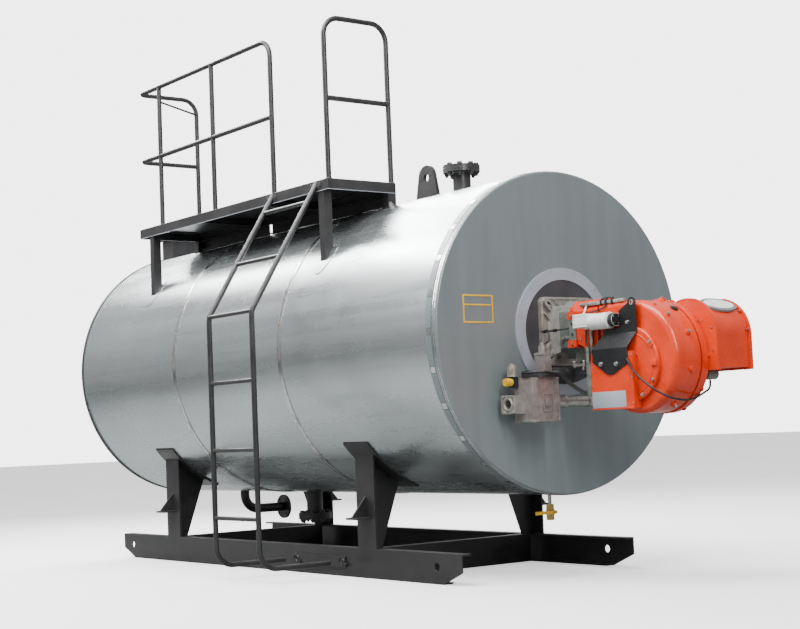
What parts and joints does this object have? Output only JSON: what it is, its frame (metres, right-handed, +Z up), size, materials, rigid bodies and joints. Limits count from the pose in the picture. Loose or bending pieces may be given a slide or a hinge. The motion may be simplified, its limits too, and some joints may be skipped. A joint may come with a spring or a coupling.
{
  "type": "industrial steam boiler",
  "caption": "Horizontal fire-tube boiler with a gas burner on its front, a channel base frame, a service platform with railings and an access ladder.",
  "frame": {"origin": "on the floor, at the middle of the underside of the front cross-beam, midway between the front legs", "axes": "+X along the boiler's axis towards the burner, +Y away from the ladder, +Z up"},
  "size_m": [5.621, 2.2648, 3.537],
  "materials": {
    "cladding": "satin metallic sheet cladding",
    "end_cover": "satin blue-grey sheet",
    "stainless_band": "polished band",
    "dark_trim": "matte dark paint",
    "light_ring": "satin light grey",
    "charcoal_paint": "satin charcoal paint",
    "deck_plate": "satin charcoal checker plate",
    "zinc_pipe": "zinc plated",
    "brass": "satin brass",
    "yellow_paint": "gloss yellow",
    "cast_aluminium": "raw casting",
    "grey_casting": "satin grey-green casting",
    "orange_paint": "gloss orange",
    "white_plastic": "off-white",
    "black_plate": "satin black",
    "valve_casting": "pinkish grey die casting",
    "black_plastic": "matte black",
    "black_rubber": "satin black"
  },
  "bodies": {
    "boiler": {"air_intake": "orange_paint", "base_rail_left": "charcoal_paint", "base_rail_right": "charcoal_paint", "blind_flanges": "charcoal_paint", "blowdown_pipe": "charcoal_paint", "boiler_shell": "cladding", "burner_body": "orange_paint", "burner_flange": "cast_aluminium", "burner_hinge": "grey_casting", "burner_neck": "grey_casting", "burner_plate": "dark_trim", "burner_ring": "light_ring", "cross_beam_front": "charcoal_paint", "cross_beam_rear": "charcoal_paint", "damper_cable": "black_rubber", "damper_motor": "grey_casting", "drain_valve": "brass", "fan_scroll": "orange_paint", "flue_outlet": "charcoal_paint", "front_cover": "end_cover", "front_drain_pipe": "zinc_pipe", "gas_adapter": "grey_casting", "gas_box": "orange_paint", "gas_inlet": "cast_aluminium", "gas_pipe": "zinc_pipe", "gas_pressure_switch": "black_plastic", "gas_valve": "valve_casting", "ladder": "charcoal_paint", "ladder_foot_bar": "charcoal_paint", "leg_front_left": "charcoal_paint", "leg_front_right": "charcoal_paint", "leg_lugs": "charcoal_paint", "leg_pads": "charcoal_paint", "leg_rear_left": "charcoal_paint", "leg_rear_right": "charcoal_paint", "lifting_lug": "charcoal_paint", "platform_bearers": "charcoal_paint", "platform_deck": "deck_plate", "platform_frame": "charcoal_paint", "platform_posts": "charcoal_paint", "plug_cap": "yellow_paint", "post_collars": "cladding", "pressure_plug": "black_plastic", "railing_front": "charcoal_paint", "railing_rear": "charcoal_paint", "rear_cover": "end_cover", "rear_drain_pipe": "charcoal_paint", "rear_trim": "dark_trim", "scroll_cover": "orange_paint", "seam_bands": "stainless_band", "servo_bracket": "black_plate", "servo_motor": "white_plastic", "slide_bar": "zinc_pipe", "steam_nozzle": "charcoal_paint", "valve_actuator": "valve_casting", "valve_cables": "black_rubber", "valve_diaphragm": "black_plastic", "vent_knob": "cast_aluminium"},
    "lever": {"valve_lever": "yellow_paint"}
  },
  "joints": [
    {"name": "drain_valve_turn", "type": "hinge", "parent": "boiler", "child": "lever", "pos_m": [0.965, 0, 0.376], "axis": [1, 0, 0], "range_deg": [0, 90]}
  ]
}
